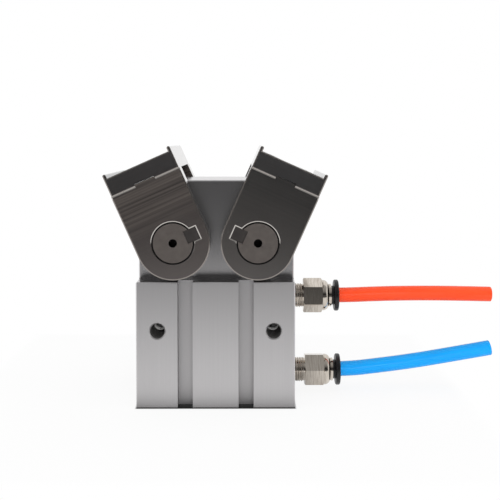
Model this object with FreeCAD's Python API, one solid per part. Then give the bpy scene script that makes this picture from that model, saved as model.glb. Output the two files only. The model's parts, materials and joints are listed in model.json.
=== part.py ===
"""Pneumatic angular gripper: two fingers swung by one piston through a rack and two pinions.

Millimetres. The origin is the centre of the body's bottom face, +X points to the air fittings,
+Y away from the front face and +Z up towards the fingers.
"""

import math
import os

import FreeCAD
import Part

# Body block
body_width = 60.0
body_depth = 50.0
upper_depth = 31.0
body_chamfer = 0.4
groove_width = 5.7
groove_depth = 5.0
groove_spacing = 23.0
side_hole_diameter = 5.7
side_hole_depth = 14.5
side_core_diameter = 4.6
side_hole_spacing = 44.0
side_hole_height = 29.4
base_hole_diameter = 4.2
base_hole_depth = 12.0
base_spacing_x = 48.0
base_spacing_y = 38.0
hole_mouth_chamfer = 0.4

# Fingers
pivot_spacing = 32.0
finger_width = 28.0
ledge_gap = 0.7
arm_gap = 0.5
bevel_width = 0.45
bevel_depth = 0.25
joint_height = 25.1
tongue_width = 8.0
tongue_height = 0.8
tongue_clearance = 0.05
tongue_headroom = 0.35
cap_inset = 0.2
cap_height = 7.1
lip_height = 1.8
lip_width = 1.3
shoulder_clearance = 0.8
top_drop = 1.0
tool_hole_diameter = 3.3
tool_hole_square = 16.0
closed_angle = -2.5
rest_angle = 24.0
open_angle = 90.0

# Cap screws
screw_diameter = 4.0
screw_head_diameter = 7.0
screw_head_height = 4.0
screw_socket = 3.0
screw_socket_depth = 2.0
screw_grip = 8.0
screw_spacing = 17.0
screw_clearance = 0.15

# Pinion shafts, keys and bushes
shaft_diameter = 16.0
shaft_chamfer = 0.15
shaft_relief = 0.4
shaft_relief_length = 1.5
center_hole_diameter = 3.0
center_hole_depth = 6.0
arm_fit = 0.02
bush_fit = 0.03
key_width = 5.0
key_height = 5.1
key_depth_in_shaft = 2.8
key_fit = 0.02
key_setback = 0.3
bush_outer_diameter = 22.0
bush_seat_fit = 0.02
bush_flange_diameter = 25.0
bush_flange_thickness = 1.2
bush_flange_recess = 0.8

# Rack and pinion teeth
gear_module = 1.0
pinion_teeth = 18
pressure_angle = math.radians(20.0)
tooth_thinning = 0.05
pinion_face = 14.0
rack_face = 13.0
rack_end_teeth = 0.65
slot_clearance = 0.4
slot_side_clearance = 0.3

# Cylinder
bore_diameter = 32.0
rod_diameter = 10.0
ring_offset = 0.7
ring_thickness = 1.3
ring_width = 2.0
ring_groove_depth = 0.9
ring_gap_angle = 40.0
ring_lug_diameter = 4.4
ring_eye_diameter = 1.6
end_cap_thickness = 4.5
end_cap_dimple_diameter = 5.0
end_cap_dimple_depth = 2.0
static_fit = 0.03
piston_fit = 0.08
wear_ring_fit = 0.05
rod_fit = 0.04
stop_gap = 0.4
piston_thickness = 15.5
rod_cover_thickness = 6.0
air_annulus_height = 3.0
air_annulus_depth = 2.5
oring_section = 1.8
oring_groove_depth = 1.35
oring_land = 0.6
piston_rim_height = 1.2
piston_rim_depth = 2.5
piston_land = 0.85
seal_width = 3.0
seal_depth = 2.8
magnet_width = 3.0
magnet_depth = 2.6
wear_ring_width = 2.5
wear_ring_depth = 1.6
ring_play = 0.05
rod_seal_width = 3.0
rod_seal_depth = 2.4
rod_spigot_diameter = 7.0
rod_spigot_length = 9.0
joint_pin_diameter = 3.0
piston_spigot_diameter = 8.0
piston_spigot_length = 8.0
piston_screw_diameter = 5.0
piston_screw_length = 10.0
piston_screw_head_diameter = 8.5
piston_screw_head_height = 5.0
piston_screw_socket = 4.0
piston_screw_socket_depth = 2.5

# Air ports and push-in fittings
upper_port_rise = 1.07
lower_port_rise = 1.5
port_diameter = 9.8
port_depth = 6.0
passage_diameter = 3.0
thread_core_diameter = 9.1
thread_length = 8.6
upper_thread_shown = 4.55
lower_thread_shown = 5.25
thread_lead_in = 0.8
hex_across_flats = 12.0
hex_length = 7.65
hex_corner_bevel = 0.55
upper_hex_turn = -8.0
lower_hex_turn = 20.4
dome_diameter = 12.2
dome_end_diameter = 9.1
dome_length = 2.7
dome_bend_along = 0.7
dome_bend_out = 0.72
mouth_groove_width = 0.3
mouth_groove_diameter = 8.7
mouth_rim_width = 0.7
mouth_rim_diameter = 9.2
fitting_bore_diameter = 4.0
socket_start = 3.55
socket_clearance = 0.05
cavity_diameter = 8.2
cavity_start = 4.55
cavity_end = 10.25
mouth_diameter = 7.8
tube_seal_length = 1.9
collet_length = 0.7
collet_slots = 8
collet_slot_width = 0.5
fitting_part_play = 0.05
sleeve_diameter = 7.6
sleeve_bore_diameter = 6.3
sleeve_start = 8.45
sleeve_lip_diameter = 8.0
sleeve_lip_length = 1.7
flange_diameter = 12.5
flange_start = 12.55
flange_thickness = 1.7
flange_chamfer = 0.3

# Air tubes: points are given from the body's side face and from the port's height
tube_diameter = 6.0
tube_bore_diameter = 4.0
tube_arc_share = 0.45
orange_route = [(8.2, 0.0), (21.5, 0.0), (35.0, 0.6), (50.0, 0.85), (66.0, 0.75), (80.9, 0.4)]
blue_route = [(9.4, 0.0), (22.5, 0.0), (36.0, 1.6), (49.0, 3.3), (64.5, 5.9), (80.9, 8.8)]

# Places worked out from the sizes above
half_width = body_width / 2
half_depth = body_depth / 2
upper_half_depth = upper_depth / 2
pivot_x = pivot_spacing / 2
arm_start = upper_half_depth + arm_gap
shaft_radius = shaft_diameter / 2
key_inner = shaft_radius - key_depth_in_shaft
key_outer = key_inner + key_height

# Teeth and travel
pitch_radius = gear_module * pinion_teeth / 2
tooth_pitch = math.pi * gear_module
addendum = gear_module
dedendum = 1.25 * gear_module
rack_pitch_line = pivot_x - pitch_radius
rack_root = rack_pitch_line - dedendum
rack_tip = rack_pitch_line + addendum
travel_down = math.radians(rest_angle - closed_angle) * pitch_radius
travel_up = math.radians(open_angle - rest_angle) * pitch_radius
teeth_below = math.ceil(travel_up / tooth_pitch)
teeth_above = math.ceil(travel_down / tooth_pitch)
rack_below_pivot = (teeth_below + rack_end_teeth) * tooth_pitch
rack_above_pivot = (teeth_above + rack_end_teeth) * tooth_pitch

# Heights, stacked from the bottom face up through the cylinder
bore_radius = bore_diameter / 2
rod_radius = rod_diameter / 2
piston_radius = bore_radius - piston_fit
closure_radius = bore_radius - static_fit
oring_floor = closure_radius - oring_groove_depth
ring_top = ring_offset + ring_thickness
end_cap_top = ring_top + end_cap_thickness
piston_bottom = end_cap_top + stop_gap + travel_down
piston_top = piston_bottom + piston_thickness
rod_cover_bottom = piston_top + travel_up + stop_gap
rod_cover_top = rod_cover_bottom + rod_cover_thickness
least_pivot_height = rod_cover_top + slot_clearance + travel_down + rack_below_pivot

# The block is as high as the cylinder and rack need, rounded up to a whole millimetre
block_height = math.ceil(least_pivot_height - finger_width / 2 - ledge_gap)
pivot_height = block_height + finger_width / 2 + ledge_gap
shoulder_radius = joint_height - shoulder_clearance
body_top = pivot_height + shoulder_radius - top_drop
rack_bottom = pivot_height - rack_below_pivot
rack_top = pivot_height + rack_above_pivot
slot_top = rack_top + travel_up + slot_clearance
upper_port_height = rod_cover_bottom + upper_port_rise
lower_port_height = end_cap_top + lower_port_rise

# Seats of the small pieces
seal_bottom = piston_bottom + piston_rim_height + piston_land
wear_top = piston_top - piston_rim_height - piston_land
magnet_middle = (seal_bottom + seal_width + wear_top - wear_ring_width) / 2
piston_screw_seat = piston_bottom + piston_screw_head_height
joint_pin_height = rack_bottom + rod_spigot_length / 2
screw_row = (arm_start + half_depth) / 2
cap_floor = joint_height + cap_height
screw_seat = cap_floor - screw_head_height - screw_clearance

X_AXIS = FreeCAD.Vector(1, 0, 0)
Y_AXIS = FreeCAD.Vector(0, 1, 0)
Z_AXIS = FreeCAD.Vector(0, 0, 1)
ORIGIN = FreeCAD.Vector(0, 0, 0)


# Basic shapes
def block(x_range, y_range, z_range):
    """A box between two limits on each axis."""
    corner = FreeCAD.Vector(x_range[0], y_range[0], z_range[0])
    sides = [limits[1] - limits[0] for limits in (x_range, y_range, z_range)]
    return Part.makeBox(*sides, corner)


def rod_x(radius, start, end, y=0.0, z=0.0):
    """A cylinder along X."""
    return Part.makeCylinder(radius, end - start, FreeCAD.Vector(start, y, z), X_AXIS)


def rod_y(radius, start, end, x=0.0, z=0.0):
    """A cylinder along Y."""
    return Part.makeCylinder(radius, end - start, FreeCAD.Vector(x, start, z), Y_AXIS)


def rod_z(radius, start, end, x=0.0, y=0.0):
    """A cylinder along Z."""
    return Part.makeCylinder(radius, end - start, FreeCAD.Vector(x, y, start), Z_AXIS)


def turned(profile, axis):
    """A solid of revolution about X, Y or Z from (place along the axis, radius) points."""
    side = Z_AXIS if axis != Z_AXIS else X_AXIS
    points = [axis * place + side * radius for place, radius in profile]
    face = Part.Face(Part.makePolygon(points + points[:1]))
    return face.revolve(ORIGIN, axis, 360)


def chamfered_ring(inner, outer, start, end, chamfer, axis):
    """A ring whose outer edges are chamfered."""
    profile = [(start, inner), (start, outer - chamfer), (start + chamfer, outer)]
    profile += [(end - chamfer, outer), (end, outer - chamfer), (end, inner)]
    return turned(profile, axis)


def chamfered_rod(radius, start, end, chamfer, axis):
    """A plain shaft with chamfered ends."""
    return chamfered_ring(0.0, radius, start, end, chamfer, axis)


def hex_prism_z(across_flats, start, end, turn=0.0):
    """A six-sided prism along Z."""
    corner_radius = across_flats / math.sqrt(3)
    angles = [math.radians(60 * side + turn) for side in range(6)]
    points = [FreeCAD.Vector(corner_radius * math.cos(a), corner_radius * math.sin(a), start)
              for a in angles]
    face = Part.Face(Part.makePolygon(points + points[:1]))
    return face.extrude(Z_AXIS * (end - start))


def mouth_cone(radius, chamfer, point, inward):
    """The cut that chamfers a hole's mouth; inward points into the material."""
    return Part.makeCone(radius + chamfer, radius, chamfer, point, inward)


def fused(shapes):
    """All shapes as one solid."""
    return shapes[0].multiFuse(shapes[1:]).removeSplitter()


def edges_on_plane(shape, axis, place):
    """The edges of a shape that lie in the plane at a place along an axis."""
    found = []
    for edge in shape.Edges:
        ends = [vertex.Point.dot(axis) for vertex in edge.Vertexes]
        middle = edge.valueAt((edge.FirstParameter + edge.LastParameter) / 2).dot(axis)
        if all(abs(value - place) < 1e-6 for value in ends + [middle]):
            found.append(edge)
    return found


# Body
def upper_outline():
    """The upper block's front outline, with shoulders rounded about the two pivots."""
    rise = math.sqrt(shoulder_radius ** 2 - (half_width - pivot_x) ** 2)
    reach = math.sqrt(shoulder_radius ** 2 - (body_top - pivot_height) ** 2)
    middle = (math.atan2(rise, half_width - pivot_x) + math.atan2(body_top - pivot_height, reach)) / 2

    def point(side, x, z):
        return FreeCAD.Vector(side * x, -upper_half_depth, z)

    def shoulder(side):
        low = point(side, half_width, pivot_height + rise)
        bend = point(side, pivot_x + shoulder_radius * math.cos(middle),
                     pivot_height + shoulder_radius * math.sin(middle))
        high = point(side, pivot_x + reach, body_top)
        return low, bend, high

    foot = block_height - body_chamfer
    right, left = shoulder(1), shoulder(-1)
    edges = [Part.LineSegment(point(-1, half_width, foot), point(1, half_width, foot)),
             Part.LineSegment(point(1, half_width, foot), right[0]),
             Part.Arc(*right),
             Part.LineSegment(right[2], left[2]),
             Part.Arc(left[2], left[1], left[0]),
             Part.LineSegment(left[0], point(-1, half_width, foot))]
    return Part.Wire([edge.toShape() for edge in edges])


def port_cut(height):
    """A tapped air port in the right side, with its passage into the bore."""
    face_point = FreeCAD.Vector(half_width, 0, height)
    return [rod_x(port_diameter / 2, half_width - port_depth, half_width, z=height),
            rod_x(passage_diameter / 2, 0, half_width - port_depth, z=height),
            mouth_cone(port_diameter / 2, hole_mouth_chamfer, face_point, -X_AXIS)]


def side_hole():
    """A mounting hole from front to back: wider at both ends, with a cone down to the drilled core."""
    wide, core = side_hole_diameter / 2, side_core_diameter / 2
    step = half_depth - side_hole_depth
    cone = step - (wide - core)
    return turned([(-half_depth, 0), (-half_depth, wide), (-step, wide), (-cone, core), (cone, core),
                   (step, wide), (half_depth, wide), (half_depth, 0)], Y_AXIS)


def make_body():
    """The aluminium body: cylinder block below, gear housing above."""
    lower = block((-half_width, half_width), (-half_depth, half_depth), (0, block_height))
    lower = lower.makeChamfer(body_chamfer, lower.Edges)
    upper = Part.Face(upper_outline()).extrude(Y_AXIS * upper_depth)
    rim = [edge for side in (-1, 1) for edge in edges_on_plane(upper, Y_AXIS, side * upper_half_depth)]
    upper = upper.makeChamfer(body_chamfer, rim)
    foot = block((-half_width, half_width), (-upper_half_depth, upper_half_depth),
                 (block_height - 2 * body_chamfer, block_height))
    body = fused([lower, upper, foot])

    cuts = [rod_z(bore_radius, 0, rod_cover_top),
            rod_z(bore_radius + ring_groove_depth, ring_offset, ring_top),
            mouth_cone(bore_radius, hole_mouth_chamfer, ORIGIN, Z_AXIS),
            block((-rack_tip - slot_clearance, rack_tip + slot_clearance),
                  (-rack_face / 2 - slot_side_clearance, rack_face / 2 + slot_side_clearance),
                  (rod_cover_top - slot_clearance, slot_top))]
    for side in (-1, 1):
        cuts.append(rod_y(bush_outer_diameter / 2 + bush_seat_fit, -half_depth, half_depth,
                          side * pivot_x, pivot_height))
        for end in (-1, 1):
            recess = sorted((end * half_depth, end * (upper_half_depth - bush_flange_recess)))
            cuts.append(rod_y(bush_flange_diameter / 2 + bush_seat_fit, *recess,
                              side * pivot_x, pivot_height))
            groove_y = sorted((end * half_depth, end * (half_depth - groove_depth)))
            groove_x = [side * groove_spacing / 2 + share * groove_width for share in (-0.5, 0.5)]
            cuts.append(block(groove_x, groove_y, (0, block_height)))
            cuts.append(mouth_cone(side_hole_diameter / 2, hole_mouth_chamfer,
                                   FreeCAD.Vector(side * side_hole_spacing / 2, end * half_depth,
                                                  side_hole_height), Y_AXIS * -end))
            base_x, base_y = side * base_spacing_x / 2, end * base_spacing_y / 2
            cuts.append(rod_z(base_hole_diameter / 2, 0, base_hole_depth, base_x, base_y))
            cuts.append(mouth_cone(base_hole_diameter / 2, hole_mouth_chamfer,
                                   FreeCAD.Vector(base_x, base_y, 0), Z_AXIS))
        cuts.append(side_hole().translated(FreeCAD.Vector(side * side_hole_spacing / 2, 0, side_hole_height)))
    cuts += port_cut(upper_port_height)
    cuts += port_cut(lower_port_height)
    return body.cut(cuts).removeSplitter()


# Cylinder closures
def gland_ring(inner, outer, start):
    """A sealing ring with bevelled corners that fills its groove, along Z."""
    low, high = start + ring_play, start + oring_section - ring_play
    bevel = min(high - low, outer - inner) / 4
    return turned([(low, inner + bevel), (low, outer - bevel), (low + bevel, outer), (high - bevel, outer),
                   (high, outer - bevel), (high, inner + bevel), (high - bevel, inner), (low + bevel, inner)],
                  Z_AXIS)


def make_end_cap():
    """The plug that closes the bottom of the bore, with its sealing groove and puller dimple."""
    cap = chamfered_rod(closure_radius, ring_top, end_cap_top, body_chamfer, Z_AXIS)
    groove_start = end_cap_top - oring_land - oring_section
    groove = rod_z(bore_radius, groove_start, groove_start + oring_section)
    groove = groove.cut(rod_z(oring_floor, groove_start, groove_start + oring_section))
    dimple = rod_z(end_cap_dimple_diameter / 2, ring_top, ring_top + end_cap_dimple_depth)
    return cap.cut([groove, dimple])


def make_end_cap_seal():
    """The ring in the end cap's groove."""
    return gland_ring(oring_floor + ring_play, bore_radius - ring_play,
                      end_cap_top - oring_land - oring_section)


def make_retaining_ring():
    """The inner snap ring under the end cap: an open ring with two lugs for pliers."""
    outer = bore_radius + ring_groove_depth - ring_play
    inner = outer - ring_width - ring_groove_depth
    ring = rod_z(outer, ring_offset + ring_play, ring_top - ring_play)
    ring = ring.cut(rod_z(inner, ring_offset, ring_top))
    wedge_edge = 2 * outer
    half_gap = math.radians(ring_gap_angle / 2)
    corners = [FreeCAD.Vector(share * wedge_edge * math.sin(half_gap),
                              -abs(share) * wedge_edge * math.cos(half_gap), ring_offset)
               for share in (0, 1, -1)]
    wedge = Part.Face(Part.makePolygon(corners + corners[:1])).extrude(Z_AXIS * ring_thickness)
    ring = ring.cut(wedge)
    lug_radius = ring_lug_diameter / 2
    lug_place = inner - ring_eye_diameter / 2
    lugs, eyes = [], []
    for side in (-1, 1):
        angle = half_gap + lug_radius / inner
        x, y = side * lug_place * math.sin(angle), -lug_place * math.cos(angle)
        lugs.append(rod_z(lug_radius, ring_offset + ring_play, ring_top - ring_play, x, y))
        eyes.append(rod_z(ring_eye_diameter / 2, ring_offset, ring_top, x, y))
    return fused([ring] + lugs).cut(eyes)


def make_rod_cover():
    """The guide at the top of the bore: it seals the rod and leaves an air annulus below."""
    low, high = rod_cover_bottom, rod_cover_top
    step = low + air_annulus_height
    inner = rod_radius + rod_fit
    cover = turned([(low, inner), (low, closure_radius - air_annulus_depth),
                    (step, closure_radius - air_annulus_depth), (step, closure_radius),
                    (high, closure_radius), (high, inner)], Z_AXIS)
    groove_start = high - oring_land - oring_section
    groove = rod_z(bore_radius, groove_start, groove_start + oring_section)
    groove = groove.cut(rod_z(oring_floor, groove_start, groove_start + oring_section))
    seal_start = low + (rod_cover_thickness - rod_seal_width) / 2
    seal_groove = rod_z(rod_radius + rod_seal_depth, seal_start, seal_start + rod_seal_width)
    return cover.cut([groove, seal_groove])


def make_rod_cover_seal():
    """The ring in the rod cover's outer groove."""
    return gland_ring(oring_floor + ring_play, bore_radius - ring_play,
                      rod_cover_top - oring_land - oring_section)


def make_rod_seal():
    """The lip seal that the rod slides through."""
    start = rod_cover_bottom + (rod_cover_thickness - rod_seal_width) / 2 + ring_play
    end = start + rod_seal_width - 2 * ring_play
    outer = rod_radius + rod_seal_depth - ring_play
    lip = rod_radius + rod_fit
    throat = (lip + outer) / 2
    lip_end = (start + end) / 2
    return turned([(start, lip), (start, throat - ring_play), (lip_end, throat), (start, throat + ring_play),
                   (start, outer), (end, outer), (end, throat), (lip_end, lip + ring_play)], Z_AXIS)


# Piston and rack
def ring_groove(start, width, depth):
    """An outer groove around the piston."""
    ring = rod_z(bore_radius, start, start + width)
    return ring.cut(rod_z(piston_radius - depth, start, start + width))


def make_piston():
    """The piston: reduced rims for the air, three ring grooves and a seat for its screw."""
    rim = piston_radius - piston_rim_depth
    low, high = piston_bottom, piston_top
    piston = turned([(low, 0), (low, rim), (low + piston_rim_height, rim),
                     (low + piston_rim_height, piston_radius), (high - piston_rim_height, piston_radius),
                     (high - piston_rim_height, rim), (high, rim), (high, 0)], Z_AXIS)
    cuts = [ring_groove(seal_bottom, seal_width, seal_depth),
            ring_groove(magnet_middle - magnet_width / 2, magnet_width, magnet_depth),
            ring_groove(wear_top - wear_ring_width, wear_ring_width, wear_ring_depth),
            rod_z(piston_spigot_diameter / 2 + static_fit, high - piston_spigot_length, high),
            rod_z(piston_screw_diameter / 2 + screw_clearance, low, high),
            rod_z(piston_screw_head_diameter / 2 + screw_clearance, low, low + piston_screw_head_height)]
    return piston.cut(cuts)


def piston_ring(start, width, depth, outer):
    """A ring that sits in one of the piston's grooves."""
    inner = piston_radius - depth + ring_play
    return chamfered_ring(inner, outer, start + ring_play, start + width - ring_play, ring_play, Z_AXIS)


def make_piston_seal():
    """The piston's two-lipped seal."""
    start, end = seal_bottom + ring_play, seal_bottom + seal_width - ring_play
    inner, outer = piston_radius - seal_depth + ring_play, bore_radius - wear_ring_fit
    waist = outer - seal_depth / 3
    lip = seal_width / 6
    return turned([(start, inner), (start, waist), (start + lip, outer), ((start + end) / 2, waist),
                   (end - lip, outer), (end, waist), (end, inner)], Z_AXIS)


def make_magnet_ring():
    """The magnet that the position sensors in the grooves look for."""
    return piston_ring(magnet_middle - magnet_width / 2, magnet_width, magnet_depth, piston_radius)


def make_wear_ring():
    """The plastic ring that guides the piston in the bore."""
    outer = bore_radius - wear_ring_fit
    return piston_ring(wear_top - wear_ring_width, wear_ring_width, wear_ring_depth, outer)


def make_piston_rod():
    """The rod: a spigot in the piston below and one in the rack above."""
    spigot_low = piston_top - piston_spigot_length
    spigot_high = rack_bottom + rod_spigot_length
    rod = turned([(spigot_low, 0), (spigot_low, piston_spigot_diameter / 2),
                  (piston_top, piston_spigot_diameter / 2), (piston_top, rod_radius),
                  (rack_bottom, rod_radius), (rack_bottom, rod_spigot_diameter / 2),
                  (spigot_high, rod_spigot_diameter / 2), (spigot_high, 0)], Z_AXIS)
    screw_hole = rod_z(piston_screw_diameter / 2 + static_fit, spigot_low,
                       piston_screw_seat + piston_screw_length + static_fit)
    pin_hole = rod_y(joint_pin_diameter / 2 + static_fit, -rod_diameter, rod_diameter, z=joint_pin_height)
    return rod.cut([screw_hole, pin_hole])


def make_piston_screw():
    """The socket screw that clamps the piston to the rod."""
    head_radius = piston_screw_head_diameter / 2
    head = chamfered_rod(head_radius, piston_bottom, piston_screw_seat, body_chamfer, Z_AXIS)
    shank = rod_z(piston_screw_diameter / 2, piston_screw_seat, piston_screw_seat + piston_screw_length)
    socket = hex_prism_z(piston_screw_socket, piston_bottom, piston_bottom + piston_screw_socket_depth)
    return fused([head, shank]).cut(socket)


def make_joint_pin():
    """The cross pin that holds the rod in the rack."""
    pin = chamfered_rod(joint_pin_diameter / 2, -rack_face / 2, rack_face / 2, hole_mouth_chamfer, Y_AXIS)
    return pin.translated(Z_AXIS * joint_pin_height)


def rack_tooth_points(side):
    """The toothed edge of the rack, bottom to top, on one side."""
    slope = math.tan(pressure_angle)
    half_pitch_tooth = tooth_pitch / 4 - tooth_thinning
    half_root = half_pitch_tooth + dedendum * slope
    half_tip = half_pitch_tooth - addendum * slope
    points = []
    for index in range(-teeth_below, teeth_above + 1):
        middle = pivot_height + index * tooth_pitch
        for x, z in ((rack_root, middle - half_root), (rack_tip, middle - half_tip),
                     (rack_tip, middle + half_tip), (rack_root, middle + half_root)):
            points.append(FreeCAD.Vector(side * x, -rack_face / 2, z))
    return points


def make_double_rack():
    """The rack with teeth on both sides, driven by the rod from below."""
    def end_points(z):
        return [FreeCAD.Vector(side * rack_root, -rack_face / 2, z) for side in (1, -1)]

    right = rack_tooth_points(1)
    left = rack_tooth_points(-1)[::-1]
    bottom_right, bottom_left = end_points(rack_bottom)
    top_right, top_left = end_points(rack_top)
    outline = [bottom_right] + right + [top_right, top_left] + left + [bottom_left]
    rack = Part.Face(Part.makePolygon(outline + outline[:1])).extrude(Y_AXIS * rack_face)
    socket_top = rack_bottom + rod_spigot_length + static_fit
    socket = rod_z(rod_spigot_diameter / 2 + static_fit, rack_bottom, socket_top)
    pin_hole = rod_y(joint_pin_diameter / 2 + static_fit, -rack_face, rack_face, z=joint_pin_height)
    return rack.cut([socket, pin_hole])


# Fingers, built upright on the right pivot and then tilted into place
def placed_right(shape):
    """Tilts a finger piece to its rest angle and sets it on the right pivot."""
    return shape.rotated(ORIGIN, Y_AXIS, rest_angle).translated(FreeCAD.Vector(pivot_x, 0, pivot_height))


def on_both_sides(shape):
    """The right piece and the left one, which is the same piece turned half round."""
    return {"right": shape, "left": shape.rotated(ORIGIN, Z_AXIS, 180)}


def turned_about(shape):
    """A front piece as its rear twin: mirrored through the middle plane."""
    return shape.mirror(ORIGIN, Y_AXIS)


def key_block(clearance, y_range):
    """The key's space on the inner side of the rear arm."""
    half = key_width / 2 + clearance
    return block((-key_outer - clearance, -key_inner + clearance), y_range, (-half, half))


def keyway_bevel():
    """The cut that bevels the keyway's edges on the outer face of the rear arm."""
    half = key_width / 2 + key_fit
    low, high = -key_outer - key_fit, -key_inner + key_fit
    return Part.makeWedge(low, half_depth - bevel_depth, -half, -half - bevel_width, low - bevel_width,
                          high, half_depth, half, half + bevel_width, high)


def bore_bevel(radius, face, inward):
    """The cut that bevels a bore's edge on one face of the rear arm."""
    return Part.makeCone(radius + bevel_width, radius, bevel_depth, Y_AXIS * face, inward)


def make_rear_arm():
    """One arm: a round end about the shaft, straight sides and a tongue that locates the cap."""
    radius = finger_width / 2

    def point(u, w):
        return FreeCAD.Vector(u, arm_start, w)

    edges = [Part.Arc(point(radius, 0), point(0, -radius), point(-radius, 0)),
             Part.LineSegment(point(-radius, 0), point(-radius, joint_height)),
             Part.LineSegment(point(-radius, joint_height), point(radius, joint_height)),
             Part.LineSegment(point(radius, joint_height), point(radius, 0))]
    arm = Part.Face(Part.Wire([edge.toShape() for edge in edges])).extrude(Y_AXIS * (half_depth - arm_start))
    rim = edges_on_plane(arm, Y_AXIS, half_depth) + edges_on_plane(arm, Y_AXIS, arm_start)
    arm = arm.makeChamfer(bevel_depth, bevel_width, rim)
    tongue = block((-tongue_width / 2, tongue_width / 2), (arm_start, half_depth),
                   (joint_height - 2 * bevel_width, joint_height + tongue_height))
    arm = fused([arm, tongue])
    bore = shaft_radius + arm_fit
    cuts = [rod_y(bore, arm_start, half_depth),
            bore_bevel(bore, half_depth, -Y_AXIS),
            bore_bevel(bore, arm_start, Y_AXIS),
            key_block(key_fit, (arm_start, half_depth)),
            keyway_bevel()]
    for side in (-1, 1):
        cuts.append(rod_z(screw_diameter / 2 + static_fit, joint_height - screw_grip - screw_clearance,
                          joint_height, side * screw_spacing / 2, screw_row))
    return arm.cut(cuts)


def make_finger_cap():
    """The cap across both arms: a seat for the tool, with a lip along each long edge."""
    half = finger_width / 2 - cap_inset
    top = cap_floor + lip_height
    tip = lip_width / 2
    slot_half = tongue_width / 2 + tongue_clearance
    slot_roof = joint_height + tongue_height + tongue_headroom

    def point(u, w):
        return FreeCAD.Vector(u, -half_depth, w)

    def lip(side):
        return [point(side * half, top - tip), point(side * (half - tip), top),
                point(side * (half - lip_width), top - tip)]

    def in_tongue_slot(place):
        return abs(place.x) < slot_half + tongue_clearance and place.z < slot_roof + tongue_clearance

    right, left = lip(1), lip(-1)[::-1]
    corners = [left[2], point(-half, joint_height), point(-slot_half, joint_height),
               point(-slot_half, slot_roof), point(slot_half, slot_roof), point(slot_half, joint_height),
               point(half, joint_height), right[0]]
    floor = [right[2], point(half - lip_width, cap_floor), point(lip_width - half, cap_floor), left[0]]
    edges = [Part.LineSegment(*pair) for pair in zip(corners, corners[1:])]
    edges.append(Part.Arc(*right))
    edges += [Part.LineSegment(*pair) for pair in zip(floor, floor[1:])]
    edges.append(Part.Arc(*left))
    cap = Part.Face(Part.Wire([edge.toShape() for edge in edges])).extrude(Y_AXIS * body_depth)
    rim = [edge for end in (-1, 1) for edge in edges_on_plane(cap, Y_AXIS, end * half_depth)
           if not in_tongue_slot(edge.CenterOfMass)]
    cap = cap.makeChamfer(bevel_depth, bevel_width, rim)

    cuts = []
    for side in (-1, 1):
        for end in (-1, 1):
            u, y = side * screw_spacing / 2, end * screw_row
            cuts.append(rod_z(screw_diameter / 2 + screw_clearance, joint_height, cap_floor, u, y))
            cuts.append(rod_z(screw_head_diameter / 2 + screw_clearance, screw_seat, cap_floor, u, y))
            u, y = side * tool_hole_square / 2, end * tool_hole_square / 2
            cuts.append(rod_z(tool_hole_diameter / 2, joint_height, cap_floor, u, y))
            cuts.append(mouth_cone(tool_hole_diameter / 2, hole_mouth_chamfer,
                                   FreeCAD.Vector(u, y, cap_floor), -Z_AXIS))
    return cap.cut(cuts)


def make_cap_screws():
    """The four socket screws that hold the cap on the arms."""
    head = chamfered_rod(screw_head_diameter / 2, screw_seat, screw_seat + screw_head_height,
                         hole_mouth_chamfer, Z_AXIS)
    shank = rod_z(screw_diameter / 2, joint_height - screw_grip, screw_seat)
    socket = hex_prism_z(screw_socket, screw_seat + screw_head_height - screw_socket_depth,
                         screw_seat + screw_head_height)
    screw = fused([head, shank]).cut(socket)
    places = [FreeCAD.Vector(side * screw_spacing / 2, end * screw_row, 0)
              for side in (-1, 1) for end in (-1, 1)]
    return Part.makeCompound([screw.translated(place) for place in places])


def involute_angle(radius):
    """The polar angle that the involute has turned through at a radius."""
    base = pitch_radius * math.cos(pressure_angle)
    roll = math.sqrt(max(radius * radius / (base * base) - 1.0, 0.0))
    return roll - math.atan(roll)


def make_pinion():
    """The toothed middle of the shaft, with a tooth gap facing the rack in the middle."""
    root, tip = pitch_radius - dedendum, pitch_radius + addendum
    base = pitch_radius * math.cos(pressure_angle)
    start = max(base, root)
    half_at_pitch = (tooth_pitch / 4 - tooth_thinning) / pitch_radius
    half_at_base = half_at_pitch + involute_angle(pitch_radius)
    step = 2 * math.pi / pinion_teeth

    def point(radius, angle):
        return FreeCAD.Vector(-radius * math.cos(angle), -pinion_face / 2, radius * math.sin(angle))

    def flank(radius, middle, side):
        return point(radius, middle + side * (half_at_base - involute_angle(radius)))

    edges = []
    for tooth in range(pinion_teeth):
        middle = (tooth + 0.5) * step
        foot_in, foot_out = point(root, middle - half_at_base), point(root, middle + half_at_base)
        next_foot = point(root, middle + step - half_at_base)
        rise = [flank(radius, middle, -1) for radius in (start, (start + tip) / 2, tip)]
        fall = [flank(radius, middle, 1) for radius in (tip, (start + tip) / 2, start)]
        edges += [Part.LineSegment(foot_in, rise[0]), Part.Arc(*rise),
                  Part.Arc(rise[2], point(tip, middle), fall[0]), Part.Arc(*fall),
                  Part.LineSegment(fall[2], foot_out),
                  Part.Arc(foot_out, point(root, middle + step / 2), next_foot)]
    return Part.Face(Part.Wire([edge.toShape() for edge in edges])).extrude(Y_AXIS * pinion_face)


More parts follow.
